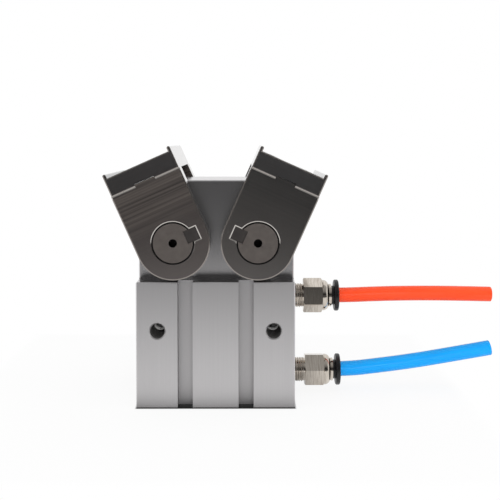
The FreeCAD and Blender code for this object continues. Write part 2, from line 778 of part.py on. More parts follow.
def make_pinion_shaft():
    """A shaft cut from one bar: pinion in the middle, journals, and a keyway at each end."""
    pieces = [make_pinion()]
    for end in (-1, 1):
        relief = end * (half_depth - shaft_relief_length)
        end_radius = shaft_radius - shaft_relief
        journal = turned([(end * pinion_face / 2, 0), (end * pinion_face / 2, shaft_radius),
                          (relief, shaft_radius), (relief, end_radius),
                          (end * (half_depth - shaft_chamfer), end_radius),
                          (end * half_depth, end_radius - shaft_chamfer), (end * half_depth, 0)], Y_AXIS)
        pieces.append(journal)
    shaft = fused(pieces)
    keyway = key_block(key_fit, (arm_start - key_fit, half_depth)).rotated(ORIGIN, Y_AXIS, rest_angle)
    cuts = [keyway, turned_about(keyway)]
    for end in (-1, 1):
        hole = sorted((end * half_depth, end * (half_depth - center_hole_depth)))
        cuts.append(rod_y(center_hole_diameter / 2, *hole))
    return shaft.cut(cuts).translated(FreeCAD.Vector(pivot_x, 0, pivot_height))


def make_rear_bush():
    """A flanged bush: the journal runs in it and the arm runs against its flange."""
    inner = shaft_radius + bush_fit
    flange_start = upper_half_depth - bush_flange_recess
    flange_end = flange_start + bush_flange_thickness
    bush = turned([(pinion_face / 2 + slot_side_clearance, inner),
                   (pinion_face / 2 + slot_side_clearance, bush_outer_diameter / 2),
                   (flange_start, bush_outer_diameter / 2), (flange_start, bush_flange_diameter / 2),
                   (flange_end, bush_flange_diameter / 2), (flange_end, inner)], Y_AXIS)
    return bush.translated(FreeCAD.Vector(pivot_x, 0, pivot_height))


# Push-in fittings along X, measured from the thread side of the hex
def hex_nut(corner_turn):
    """The hex with its corners bevelled at both ends."""
    corner = hex_across_flats / math.sqrt(3)
    bevel_length = hex_corner_bevel * math.tan(math.radians(30))
    hexagon = hex_prism_z(hex_across_flats, 0, hex_length, corner_turn).rotated(ORIGIN, Y_AXIS, 90)
    bevelled = corner - hex_corner_bevel
    blank = turned([(0, 0), (0, bevelled), (bevel_length, corner), (hex_length - bevel_length, corner),
                    (hex_length, bevelled), (hex_length, 0)], X_AXIS)
    return hexagon.common(blank)


def dome():
    """The rounded shoulder after the hex."""
    end = hex_length + dome_length
    low, high = dome_end_diameter / 2, dome_diameter / 2
    bend = FreeCAD.Vector(hex_length + dome_bend_along * dome_length, 0, low + dome_bend_out * (high - low))
    start_point, end_point = FreeCAD.Vector(hex_length, 0, high), FreeCAD.Vector(end, 0, low)
    edges = [Part.LineSegment(X_AXIS * hex_length, start_point), Part.Arc(start_point, bend, end_point),
             Part.LineSegment(end_point, X_AXIS * end), Part.LineSegment(X_AXIS * end, X_AXIS * hex_length)]
    return Part.Face(Part.Wire([edge.toShape() for edge in edges])).revolve(ORIGIN, X_AXIS, 360)


def make_fitting_body(corner_turn):
    """The plated body: thread, hex and dome around the tube's socket."""
    core = thread_core_diameter / 2
    thread = turned([(-thread_length, 0), (-thread_length, core - thread_lead_in),
                     (thread_lead_in - thread_length, core), (0, core), (0, 0)], X_AXIS)
    dome_end = hex_length + dome_length
    groove_end = dome_end + mouth_groove_width
    mouth_end = groove_end + mouth_rim_width
    rim = [rod_x(mouth_groove_diameter / 2, dome_end, groove_end),
           rod_x(mouth_rim_diameter / 2, groove_end, mouth_end)]
    cuts = [rod_x(fitting_bore_diameter / 2, -thread_length, socket_start),
            rod_x(tube_diameter / 2 + socket_clearance, socket_start, cavity_start),
            rod_x(cavity_diameter / 2, cavity_start, cavity_end),
            rod_x(mouth_diameter / 2, cavity_end, mouth_end)]
    return fused([thread, hex_nut(corner_turn), dome()] + rim).cut(cuts)


def make_tube_seal():
    """The rubber ring that seals on the tube."""
    start = cavity_start + fitting_part_play
    return chamfered_ring(tube_diameter / 2 + fitting_part_play, cavity_diameter / 2 - fitting_part_play,
                          start, start + tube_seal_length, fitting_part_play, X_AXIS)


def make_grip_collet():
    """The slotted spring ring whose teeth hold the tube."""
    start = cavity_start + tube_seal_length + 2 * fitting_part_play
    inner, outer = tube_diameter / 2 + fitting_part_play, cavity_diameter / 2 - fitting_part_play
    lean = collet_length / 3
    collet = turned([(start + lean, inner), (start, outer), (start + collet_length - lean, outer),
                     (start + collet_length, inner)], X_AXIS)
    slot_end = (inner + 2 * outer) / 3
    half_slot = collet_slot_width / 2
    slot = block((start, start + collet_length), (-half_slot, half_slot), (0, slot_end))
    slots = [slot.rotated(ORIGIN, X_AXIS, 360 / collet_slots * index) for index in range(collet_slots)]
    return collet.cut(slots)


def make_release_ring():
    """The plastic ring that is pushed in to free the tube."""
    inner = sleeve_bore_diameter / 2
    flange_end = flange_start + flange_thickness
    lip_end = sleeve_start + sleeve_lip_length
    return turned([(sleeve_start, inner), (sleeve_start, sleeve_lip_diameter / 2),
                   (lip_end, sleeve_lip_diameter / 2), (lip_end, sleeve_diameter / 2),
                   (flange_start, sleeve_diameter / 2), (flange_start, flange_diameter / 2 - flange_chamfer),
                   (flange_start + flange_chamfer, flange_diameter / 2),
                   (flange_end - flange_chamfer, flange_diameter / 2),
                   (flange_end, flange_diameter / 2 - flange_chamfer), (flange_end, inner)], X_AXIS)


# Air tubes
def tube_path(points):
    """Straight runs joined by tangent arcs, each as large as its two runs allow."""
    edges, here = [], points[0]
    for before, corner, after in zip(points, points[1:], points[2:]):
        run_in, run_out = corner - before, after - corner
        turn = run_in.getAngle(run_out)
        setback = tube_arc_share * min(run_in.Length, run_out.Length)
        radius = setback / math.tan(turn / 2)
        run_in.normalize()
        run_out.normalize()
        arc_start, arc_end = corner - run_in * setback, corner + run_out * setback
        inward = run_out - run_in
        inward.normalize()
        bend = corner + inward * (radius / math.cos(turn / 2) - radius)
        edges += [Part.LineSegment(here, arc_start).toShape(), Part.Arc(arc_start, bend, arc_end).toShape()]
        here = arc_end
        print(f"  arc radius {radius:.0f} mm at turn {math.degrees(turn):.1f} degrees")
    edges.append(Part.LineSegment(here, points[-1]).toShape())
    return Part.Wire(edges)


def make_tube(name, route, port_height):
    """An air tube cut square at its free end."""
    points = [FreeCAD.Vector(half_width + x, 0, port_height + z) for x, z in route]
    path = tube_path(points)

    def swept(radius):
        circle = Part.Wire(Part.makeCircle(radius, points[0], X_AXIS))
        return path.makePipeShell([circle], True, False)

    tube = swept(tube_diameter / 2).cut(swept(tube_bore_diameter / 2))
    expected = math.pi / 4 * (tube_diameter ** 2 - tube_bore_diameter ** 2) * path.Length
    print(f"{name}: length {path.Length:.1f} mm")
    print(f"  volume {tube.Volume:.1f}, section times length {expected:.1f}")
    return tube


# All pieces by name
pieces = {
    "body": make_body(),
    "end_cap": make_end_cap(),
    "end_cap_seal": make_end_cap_seal(),
    "retaining_ring": make_retaining_ring(),
    "rod_cover": make_rod_cover(),
    "rod_cover_seal": make_rod_cover_seal(),
    "rod_seal": make_rod_seal(),
    "double_rack": make_double_rack(),
    "piston_rod": make_piston_rod(),
    "piston": make_piston(),
    "piston_seal": make_piston_seal(),
    "magnet_ring": make_magnet_ring(),
    "wear_ring": make_wear_ring(),
    "piston_screw": make_piston_screw(),
    "joint_pin": make_joint_pin(),
    "orange_tube": make_tube("orange_tube", orange_route, upper_port_height),
    "blue_tube": make_tube("blue_tube", blue_route, lower_port_height),
}

rear_pieces = {"bush": make_rear_bush(),
               "key": placed_right(key_block(0.0, (arm_start, half_depth - key_setback))),
               "arm": placed_right(make_rear_arm())}
whole_pieces = {"pinion_shaft": make_pinion_shaft(),
                "finger_cap": placed_right(make_finger_cap()),
                "cap_screws": placed_right(make_cap_screws())}
for name, shape in rear_pieces.items():
    for side, rear in on_both_sides(shape).items():
        near, far = ("rear", "front") if side == "right" else ("front", "rear")
        pieces[f"{side}_{near}_{name}"] = rear
        pieces[f"{side}_{far}_{name}"] = turned_about(rear)
for name, shape in whole_pieces.items():
    for side, whole in on_both_sides(shape).items():
        pieces[f"{side}_{name}"] = whole

ports = {"upper": (upper_port_height, upper_thread_shown, upper_hex_turn),
         "lower": (lower_port_height, lower_thread_shown, lower_hex_turn)}
for level, (height, thread_shown, corner_turn) in ports.items():
    place = FreeCAD.Vector(half_width + thread_shown, 0, height)
    pieces[f"{level}_fitting_body"] = make_fitting_body(corner_turn).translated(place)
    pieces[f"{level}_tube_seal"] = make_tube_seal().translated(place)
    pieces[f"{level}_grip_collet"] = make_grip_collet().translated(place)
    pieces[f"{level}_release_ring"] = make_release_ring().translated(place)

os.makedirs("parts", exist_ok=True)
for name, shape in pieces.items():
    shape.exportStep(f"parts/{name}.step")
    state = "valid" if shape.isValid() else "NOT VALID"
    print(f"{name}: {len(shape.Solids)} solid, {shape.Volume:.1f} mm3, {state}")
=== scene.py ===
# %% [markdown]
# A pneumatic angular gripper, dressed in Blender around its finished CAD frame.
# The CAD solids hold every size, so this script adds only what a camera sees: finishes, air tubes,
# helical threads, a studio and a viewpoint. Nothing here moves or resizes a solid.

import json
import math

import bmesh
import bpy
import numpy as np
from mathutils import Euler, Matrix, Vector


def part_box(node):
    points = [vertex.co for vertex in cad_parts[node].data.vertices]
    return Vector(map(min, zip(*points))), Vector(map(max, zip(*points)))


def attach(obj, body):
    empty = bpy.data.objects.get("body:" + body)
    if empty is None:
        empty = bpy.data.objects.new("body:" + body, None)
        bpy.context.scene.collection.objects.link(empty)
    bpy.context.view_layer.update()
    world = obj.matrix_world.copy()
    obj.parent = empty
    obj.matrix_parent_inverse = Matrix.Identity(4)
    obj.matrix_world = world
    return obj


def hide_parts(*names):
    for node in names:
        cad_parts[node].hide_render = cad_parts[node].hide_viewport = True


MM = 0.001
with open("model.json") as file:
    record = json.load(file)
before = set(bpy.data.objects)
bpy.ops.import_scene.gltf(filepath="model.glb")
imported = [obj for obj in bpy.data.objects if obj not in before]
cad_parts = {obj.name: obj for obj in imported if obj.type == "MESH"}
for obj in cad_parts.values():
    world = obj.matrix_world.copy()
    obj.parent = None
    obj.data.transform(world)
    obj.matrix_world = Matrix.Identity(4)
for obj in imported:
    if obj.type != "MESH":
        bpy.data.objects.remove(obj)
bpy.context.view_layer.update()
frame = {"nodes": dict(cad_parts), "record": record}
record = frame["record"]

# %% [markdown]
# The viewpoint comes first, because everything is judged through it. The photograph was taken nearly level,
# a little above the fingers, with the lens shifted down so that upright edges stay upright. A small shift
# keeps most of that, and a slight downward tilt does the rest. A constraint could aim the camera, but plain
# angles are easier to fit to the edges in the picture, and nothing here has to follow a moving target.

# %% Camera
CAMERA_PLACE = Vector((12.3, -327.6, 101.2)) * MM
CAMERA_DOWN = math.radians(2.425)
CAMERA_TURN = math.radians(0.129)
FOCAL_PIXELS = 810.6
FRAME_PIXELS = 500.0
SENSOR = 36.0
LENS_SHIFT = -0.15
NEAR_LIMIT = 0.01

lens = bpy.data.cameras.new("camera")
lens.sensor_width = SENSOR
lens.lens = FOCAL_PIXELS * SENSOR / FRAME_PIXELS
lens.shift_y = LENS_SHIFT
lens.clip_start = NEAR_LIMIT
camera = bpy.data.objects.new("camera", lens)
camera.location = CAMERA_PLACE
camera.rotation_euler = Euler((math.pi / 2 - CAMERA_DOWN, 0.0, -CAMERA_TURN))
bpy.context.scene.collection.objects.link(camera)
bpy.context.scene.camera = camera
print("lens", round(lens.lens, 1), "mm")

# %% [markdown]
# Every new piece is a grid of points: one parameter runs along the piece and the other around it. Blender's
# own primitives and modifiers could be bent to these shapes, but a formula keeps each size as it is in the
# solids. The helper below turns such a grid into a mesh in one step, with no loop over points. Points that
# fall together, as at the fading end of a thread, are merged, so every piece is closed.


# %% Grid to mesh
MERGE = 1e-7


def grid_mesh(name, points, close_rows=False, close_columns=True):
    """A mesh from an array of rows x columns x 3 points, in metres, joined cell by cell into quads."""
    rows, columns = points.shape[:2]
    row = np.arange(rows if close_rows else rows - 1)
    column = np.arange(columns if close_columns else columns - 1)
    here, there = row[:, None] * columns, (row[:, None] + 1) % rows * columns
    left, right = column[None, :], (column[None, :] + 1) % columns
    quads = np.stack([here + left, here + right, there + right, there + left], axis=-1).reshape(-1, 4)
    mesh = bpy.data.meshes.new(name)
    mesh.from_pydata(points.reshape(-1, 3), [], quads)
    mesh.polygons.foreach_set("use_smooth", np.ones(len(quads), dtype=bool))
    shaped = bmesh.new()
    shaped.from_mesh(mesh)
    bmesh.ops.remove_doubles(shaped, verts=shaped.verts, dist=MERGE)
    bmesh.ops.recalc_face_normals(shaped, faces=shaped.faces)
    shaped.to_mesh(mesh)
    shaped.free()
    piece = bpy.data.objects.new(name, mesh)
    bpy.context.scene.collection.objects.link(piece)
    print(name, "faces", len(mesh.polygons))
    return piece


# %% [markdown]
# The air tubes are short ends of polyurethane tube, cut square. Each lies along one smooth line, straight
# where the fitting holds it and then gently bent. The line could be typed in point by point, but a spline
# keeps it smooth with a few given control points. A bevel on the curve would make it a plain pipe
# without a wall, so only its points are taken, and the wall is built on them.


# %% Line of a tube
CURVE_STEPS = 24
CURVE_ORDER = 3


def spline_points(name, controls):
    """The points of a NURBS line: each is a weighted mean of three neighbouring control points."""
    curve = bpy.data.curves.new(name, "CURVE")
    curve.dimensions = "3D"
    curve.resolution_u = CURVE_STEPS
    spline = curve.splines.new("NURBS")
    spline.points.add(len(controls) - 1)
    spline.points.foreach_set("co", np.column_stack([controls, np.ones(len(controls))]).ravel())
    spline.order_u = CURVE_ORDER
    spline.use_endpoint_u = True
    holder = bpy.data.objects.new(name, curve)
    line = bpy.data.meshes.new_from_object(holder)
    points = np.empty(len(line.vertices) * 3)
    line.vertices.foreach_get("co", points)
    bpy.data.objects.remove(holder)
    bpy.data.curves.remove(curve)
    bpy.data.meshes.remove(line)
    print(name, "points", len(points) // 3)
    return points.reshape(-1, 3)


# %% [markdown]
# The wall is one loop of rings. It runs along the skin, turns in over the cut at the free end, comes back
# through the bore and turns out again inside the fitting. Each cut has a fine bevel. Two solid pipes and a
# boolean could give the same, but a loop of rings has clean quads and no seam.


# %% Wall of a tube
TUBE_SIDES = 48
CUT_BEVEL = 0.12 * MM


def tube_wall(line, outer, bore):
    """Rings round a line in the XZ plane: along the skin, over the bevelled cut, back through the bore.
    Each point is the ring's middle plus radius times (cosine of the turn upward + sine of it across)."""
    along = np.gradient(line, axis=0)
    along /= np.linalg.norm(along, axis=1, keepdims=True)
    across = np.array([0.0, 1.0, 0.0])
    upward = np.cross(along, across)
    count = len(line)
    there = np.arange(count)
    inset = np.zeros(count)
    inset[0], inset[-1] = CUT_BEVEL, -CUT_BEVEL
    order = np.concatenate([[0], there, [-1, -1], there[::-1], [0]])
    push = np.concatenate([[0.0], inset, [0.0, 0.0], inset[::-1], [0.0]])
    skin, hole = np.full(count, outer), np.full(count, bore)
    rim, lip = outer - CUT_BEVEL, bore + CUT_BEVEL
    radius = np.concatenate([[rim], skin, [rim, lip], hole, [lip]])
    middle = line[order] + along[order] * push[:, None]
    turn = np.linspace(0.0, 2.0 * np.pi, TUBE_SIDES, endpoint=False)
    ring = np.cos(turn)[None, :, None] * upward[order][:, None, :] + np.sin(turn)[None, :, None] * across
    return middle[:, None, :] + radius[:, None, None] * ring


# %% [markdown]
# The routes are distances from the side of the body and heights above the port, in millimetres. The orange
# tube runs almost level, and the blue one rises. Both end in a bare cut. The solids of the tubes could just
# be painted, but these have a bevelled cut and finer bends.

# %% Two air tubes
SIDE_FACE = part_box("body")[1].x
TUBE_DIAMETER = 6.0 * MM
TUBE_BORE = 4.0 * MM
PORT_HEIGHT = {"orange": 38.4 * MM, "blue": 8.0 * MM}
ROUTES = {
    "orange": [(8.2, 0.0), (21.5, 0.0), (35.0, 0.6), (50.0, 0.85), (66.0, 0.75), (80.9, 0.4)],
    "blue": [(9.4, 0.0), (22.5, 0.0), (36.0, 1.6), (49.0, 3.3), (64.5, 5.9), (80.9, 8.8)],
}

tubes = {}
for colour, route in ROUTES.items():
    controls = np.array([(SIDE_FACE + x * MM, 0.0, PORT_HEIGHT[colour] + z * MM) for x, z in route])
    line = spline_points(f"{colour}_line", controls)
    wall = tube_wall(line, TUBE_DIAMETER / 2, TUBE_BORE / 2)
    tube = grid_mesh(f"{colour}_air_tube", wall, close_rows=True)
    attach(tube, "housing")
    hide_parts(f"{colour}_tube")
    tubes[colour] = tube

# %% [markdown]
# Threads are too fine for the solids, which have plain cylinders in their place. Here each one is a ridge:
# a trapezoid carried along a helix, sunk a little into its cylinder and fading out over the last half turn.
# A bump pattern could fake it, but not in outline, and the outline is what shows beside the body.


# %% Thread ridge
THREAD_STEPS = 32
THREAD_SINK = 0.04 * MM
FLANK_FOOT = 0.46
FLANK_CREST = 0.12


def thread(name, base, axis, wall, crest, pitch, length):
    """A ridge along a helix: place = base + axis * rise + radius * direction of the angle.
    The rise is one pitch for each full turn, and the radius goes from the wall to the crest and back."""
    base, axis = np.array(base), Vector(axis)
    side = axis.orthogonal().normalized()
    up = axis.cross(side)
    angle = np.arange(0.0, 2.0 * np.pi * length / pitch, 2.0 * np.pi / THREAD_STEPS)
    fade = np.clip(np.minimum(angle, angle[-1] - angle) / np.pi, 0.0, 1.0)[:, None]
    foot = wall - math.copysign(THREAD_SINK, crest - wall)
    radius = foot + (crest - foot) * fade * np.array([0.0, 1.0, 1.0, 0.0])
    flank = np.array([-FLANK_FOOT, -FLANK_CREST, FLANK_CREST, FLANK_FOOT])
    rise = pitch * (angle[:, None] / (2.0 * np.pi) + fade * flank)
    direction = np.cos(angle)[:, None] * np.array(side) + np.sin(angle)[:, None] * np.array(up)
    points = base + rise[:, :, None] * np.array(axis) + radius[:, :, None] * direction[:, None, :]
    return grid_mesh(name, points)


# %% [markdown]
# The fittings screw into the body with a pipe thread of 28 turns to the inch. The last turns stay outside,
# so the ridge starts a little inside the body and ends just before the hex. A ridge over the whole screw
# would only add hidden faces.

# %% Fitting threads
PIPE_CORE, PIPE_CREST, PIPE_PITCH = 4.55 * MM, 4.85 * MM, 0.907 * MM
PIPE_LENGTH, PIPE_END = 8.6 * MM, 0.35 * MM
PIPE_INSIDE = 2.0 * MM
threads = []
for level in ("upper", "lower"):
    low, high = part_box(f"{level}_fitting_body")
    hex_start = low.x + PIPE_LENGTH
    first = SIDE_FACE - PIPE_INSIDE
    ridge = thread(f"{level}_fitting_thread", (first, 0.0, (low.z + high.z) / 2), (1.0, 0.0, 0.0),
                   PIPE_CORE, PIPE_CREST, PIPE_PITCH, hex_start - PIPE_END - first)
    threads.append((ridge, "nickel_brass"))

# %% [markdown]
# Two mounting holes go through the body. Each is tapped from both ends with a metric thread of 1 mm pitch,
# whose crests point inwards. The same function makes them, with a crest that is smaller than the wall.
# Blender's Screw modifier could turn such a thread too, but it wouldn't fade out at the ends.

# %% Hole threads
HOLE_WALL, HOLE_CREST, HOLE_PITCH = 2.85 * MM, 2.52 * MM, 1.0 * MM
HOLE_X, HOLE_Z = 22.0, 29.4
HOLE_START, HOLE_THREAD = 0.9 * MM, 12.8 * MM
HALF_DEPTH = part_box("body")[1].y
for side, x in (("left", -HOLE_X * MM), ("right", HOLE_X * MM)):
    for end, y in (("front", -1.0), ("rear", 1.0)):
        ridge = thread(f"{side}_{end}_hole_thread", (x, y * (HALF_DEPTH - HOLE_START), HOLE_Z * MM),
                       (0.0, -y, 0.0), HOLE_WALL, HOLE_CREST, HOLE_PITCH, HOLE_THREAD)
        threads.append((ridge, "anodised_aluminium"))
for ridge, slot in threads:
    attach(ridge, "housing")
print("threads", len(threads))

# %% [markdown]
# Colours are written as a picture editor shows them. Blender works in linear light, so one function
# converts them. One more small function adds a shader node, sets its properties and joins or fills its
# inputs. Nodes could also be drawn by hand in the editor, but a script says what each one is for.
# A Mix node has sockets for every kind of data, so the numbers of its two colours have names here. Noise
# mostly lies between 0.3 and 0.7, which is the range that the finishes spread out.


# %% Colours and nodes
MIX_A, MIX_B = 6, 7
COLOUR_MIX = {"data_type": "RGBA", "out": 2}
NOISE_RANGE = {"From Min": 0.3, "From Max": 0.7}


def linear(hex_colour):
    """An sRGB hex colour as linear red, green, blue and alpha: a power of 2.4 with a straight foot."""
    parts = [int(hex_colour[i:i + 2], 16) / 255.0 for i in (1, 3, 5)]
    light = [p / 12.92 if p <= 0.04045 else ((p + 0.055) / 1.055) ** 2.4 for p in parts]
    return (*light, 1.0)


def add(tree, kind, inputs=None, out=0, **settings):
    """Adds one node. An input takes a value, a hex colour or the output that feeds it.
    One of the node's outputs comes back, ready to feed the next node."""
    made = tree.nodes.new(f"ShaderNode{kind}")
    for name, value in settings.items():
        setattr(made, name, value)
    for name, value in (inputs or {}).items():
        if isinstance(value, bpy.types.NodeSocket):
            tree.links.new(value, made.inputs[name])
        else:
            made.inputs[name].default_value = linear(value) if isinstance(value, str) else value
    return made.outputs[out] if made.outputs else None


def blank_material(name):
    """A new material and its empty node tree."""
    material = bpy.data.materials.new(name)
    material.use_nodes = True
    material.node_tree.nodes.clear()
    print("material", name)
    return material, material.node_tree


finishes = {}
print("mid grey is", round(linear("#808080")[0], 3), "in linear light")

# %% [markdown]
# A finish has to know where it is on a piece. All patterns read the object's own coordinates, so they stay
# on the piece when it moves. An unwrapped image could do that too, but then a grain or a streak would have
# no size in millimetres. The gripper is the same on the left and right and on the front and rear, so a
# spot is given once and found in all of its mirror images.


# %% Places on a piece
def place_mm(tree, middle=(0.0, 0.0, 0.0), lean=0.0):
    """Where a point is, in mm: its place minus a middle, turned back by the piece's lean about Y."""
    axes = {"Vector": add(tree, "TexCoord", out="Object"), "Location": middle,
            "Rotation": (0.0, lean, 0.0), "Scale": (MM, MM, MM)}
    return add(tree, "Mapping", axes, vector_type="TEXTURE")


def near(tree, place, spot, reach, axes=(1.0, 1.0, 1.0)):
    """1 where the distance from the folded place to a spot is less than reach, else 0.
    Folding drops the signs, so mirror images count, and an axis of 0 leaves that direction out."""
    folded = add(tree, "VectorMath", {0: place}, operation="ABSOLUTE")
    counted = add(tree, "VectorMath", {0: folded, 1: axes}, operation="MULTIPLY")
    away = add(tree, "VectorMath", {0: counted, 1: spot}, out="Value", operation="DISTANCE")
    return add(tree, "Math", {0: away, 1: reach}, operation="LESS_THAN")


# %% [markdown]
# The body is drawn aluminium, machined, blasted and hard anodised: a grey satin metal with a very fine
# grain and faint upright drawing lines. Light spreads on it softly, so its lower part takes the tone of the
# table. The ledge and the gear housing above it are milled finer, so they are glossier. The cone where
# each side hole narrows carries a painted highlight: it is painted near white and made almost non-metal,
# so that it catches the light that falls into the hole. The narrow core behind it is painted dark, as
# painted shade. The sensor grooves are painted a darker grey and made less metallic, as painted shade in
# their recess. Separate materials could be put on these faces, but the solid is one mesh of triangles, so
# one material finds each zone by its place.


# %% Anodised aluminium
# Lengths are in mm, in the axes of the frame.
LEDGE = 47.9
DRAWN_LINE = (0.5, 0.5, 40.0)
# Blasting leaves pits of about 0.05 mm. They are drawn six times coarser, so that they show.
BLAST_GRAIN = 0.3
# HOLE_STEP marks the cone that takes a painted highlight, HOLE_AXIS the core that takes painted shade.
HOLE_STEP, STEP_REACH = (HOLE_X, 10.2, HOLE_Z), 2.9
HOLE_AXIS, CORE_REACH = (HOLE_X, 0.0, HOLE_Z), 2.4
# GROOVE marks the sensor grooves, which take a painted shade.
GROOVE, GROOVE_REACH = (11.5, 0.0, 0.0), 2.86
WALL_MIDDLE, WALL_HALF = 24.0, 23.9
ALONG_Y, ONLY_X = (1.0, 0.0, 1.0), (1.0, 0.0, 0.0)
BLOCK_GLOSS = {"To Min": 0.37, "To Max": 0.42}
HOUSING_GLOSS = {"To Min": 0.23, "To Max": 0.27}


def anodised_aluminium():
    """Satin grey metal: fine grain in the gloss, faint upright lines in the colour."""
    material, tree = blank_material("anodised_aluminium")
    place = place_mm(tree)
    stretched = add(tree, "VectorMath", {0: place, 1: DRAWN_LINE}, operation="DIVIDE")
    lines = add(tree, "TexNoise", {"Vector": stretched, "Scale": 1.0, "Detail": 3.0})
    grain = add(tree, "TexNoise", {"Vector": place, "Scale": 1.0 / BLAST_GRAIN, "Detail": 2.0})
    # Painted highlight: near white and almost non-metal on the cone in each side hole.
    cone_highlight = near(tree, place, HOLE_STEP, STEP_REACH)
    # Painted shade: near black in the narrow core of each side hole.
    core = near(tree, place, HOLE_AXIS, CORE_REACH, ALONG_Y)
    drawn = add(tree, "MapRange", {"Value": lines, **NOISE_RANGE})
    skin = add(tree, "Mix", {0: drawn, MIX_A: "#CECCCD", MIX_B: "#D1CFD0"}, **COLOUR_MIX)
    height = add(tree, "SeparateXYZ", {"Vector": place}, out="Z")
    wall = add(tree, "Math", {0: height, 1: WALL_MIDDLE, 2: WALL_HALF}, operation="COMPARE")
    # Painted shade in the sensor grooves below the ledge: a darker grey and less metal.
    groove = near(tree, place, GROOVE, GROOVE_REACH, ONLY_X)
    groove_shade = add(tree, "Math", {0: groove, 1: wall}, operation="MULTIPLY")
    skin_with_groove_shade = add(tree, "Mix", {0: groove_shade, MIX_A: skin, MIX_B: "#B4B2B3"}, **COLOUR_MIX)
    # The core's painted shade and the cone's painted highlight go into the colour here.
    painted_shade = add(tree, "Mix", {0: core, MIX_A: skin_with_groove_shade, MIX_B: "#2E2D2C"}, **COLOUR_MIX)
    tone = add(tree, "Mix", {0: cone_highlight, MIX_A: painted_shade, MIX_B: "#F8F6F4"}, **COLOUR_MIX)
    cone_highlight_metal = add(tree, "MapRange", {"Value": cone_highlight, "To Min": 1.0, "To Max": 0.1})
    groove_shade_metal = add(tree, "MapRange", {"Value": groove_shade, "To Min": 1.0, "To Max": 0.75})
    metal = add(tree, "Math", {0: cone_highlight_metal, 1: groove_shade_metal}, operation="MINIMUM")
    upper = add(tree, "Math", {0: height, 1: LEDGE}, operation="GREATER_THAN")
    block = add(tree, "MapRange", {"Value": grain, **NOISE_RANGE, **BLOCK_GLOSS})
    housing = add(tree, "MapRange", {"Value": grain, **NOISE_RANGE, **HOUSING_GLOSS})
    gloss = add(tree, "MapRange", {"Value": upper, "To Min": block, "To Max": housing})
    relief = add(tree, "Bump", {"Height": grain, "Strength": 0.02, "Distance": 0.01 * MM})
    shader = add(tree, "BsdfPrincipled", {"Base Color": tone, "Metallic": metal, "Roughness": gloss,
                                          "Normal": relief})
    add(tree, "OutputMaterial", {"Surface": shader})
    return material


finishes["anodised_aluminium"] = anodised_aluminium()

# %% [markdown]
# The fingers are ground tool steel with a brown-black oxide. The oxide scatters light as dark paint does,
# so it counts as only partly metal, and it stays dark in any light. Its colour is painted lighter at the
# foot round the pivot and darker towards the tip, as painted light from the white table below. It is
# oiled, so a thin clear coat makes it shine where the eye skims it. The grinding wheel leaves streaks
# across each finger. An image could carry them, but a noise fits every face: it is stretched along the
# finger's width, in axes that lean with the finger, and fades towards the pivot.
#
# The long sides and the narrow bevels round the faces are bare steel. The bevels at the seam under the cap
# and round the upper half of the bore, with its keyway, are painted a lighter grey, a painted highlight.
# The wall of the bore is painted black, and the lower half of its bevel stays dark oxide: painted shade in
# the gap round the shaft. The tool seats are smoother than the rest. All are found by their place: the
# sides by their distance from the finger's middle, the seats and the seam by their height above the
# pivot, the bore by its distance from the pivot, and the bevels by their depth just behind the faces at
# 25 mm.
#
# The two fingers have finishes of their own, because their streaks lean different ways, and so have the
# caps, which took the oxide deeper.


# %% Blackened steel
# Lengths are in mm. Heights and depths are measured from the pivot, along the finger.
REST_LEAN = math.radians(24.0)
PIVOT_X, PIVOT_Z = 16.0, 62.7
PIVOT_LINE = (0.0, 0.0, 0.0)
# Grinding marks are 0.1 to 0.7 mm wide. The widest are drawn, because only they show.
GRIND_STREAK = (60.0, 4.0, 0.7)
BATH_PATCH = 9.0
BEVEL_DEPTH, BEVEL_HALF = 24.865, 0.115
# The seam and upper bore take a painted highlight; the bore wall and lower bore a painted shade.
SEAM, SEAM_HALF = 24.6, 0.6
KEYWAY_REACH = 11.0
BORE_REACH = 8.1
SIDE_FROM = 13.75
SEAT_FROM = 31.8
STREAK_SPAN = {"From Min": 6.0, "From Max": 13.0}
FOOT_TO_TIP = {"From Min": -14.0, "From Max": 24.0}
OXIDE_METAL = 0.25
OXIDE_GLOSS = {"To Min": 0.34, "To Max": 0.42}
SMOOTH_GLOSS = 0.22
FAINTEST = 0.15
# Near black for painted shade in holes and gaps.
PAINTED_SHADE_BLACK = "#0A0909"


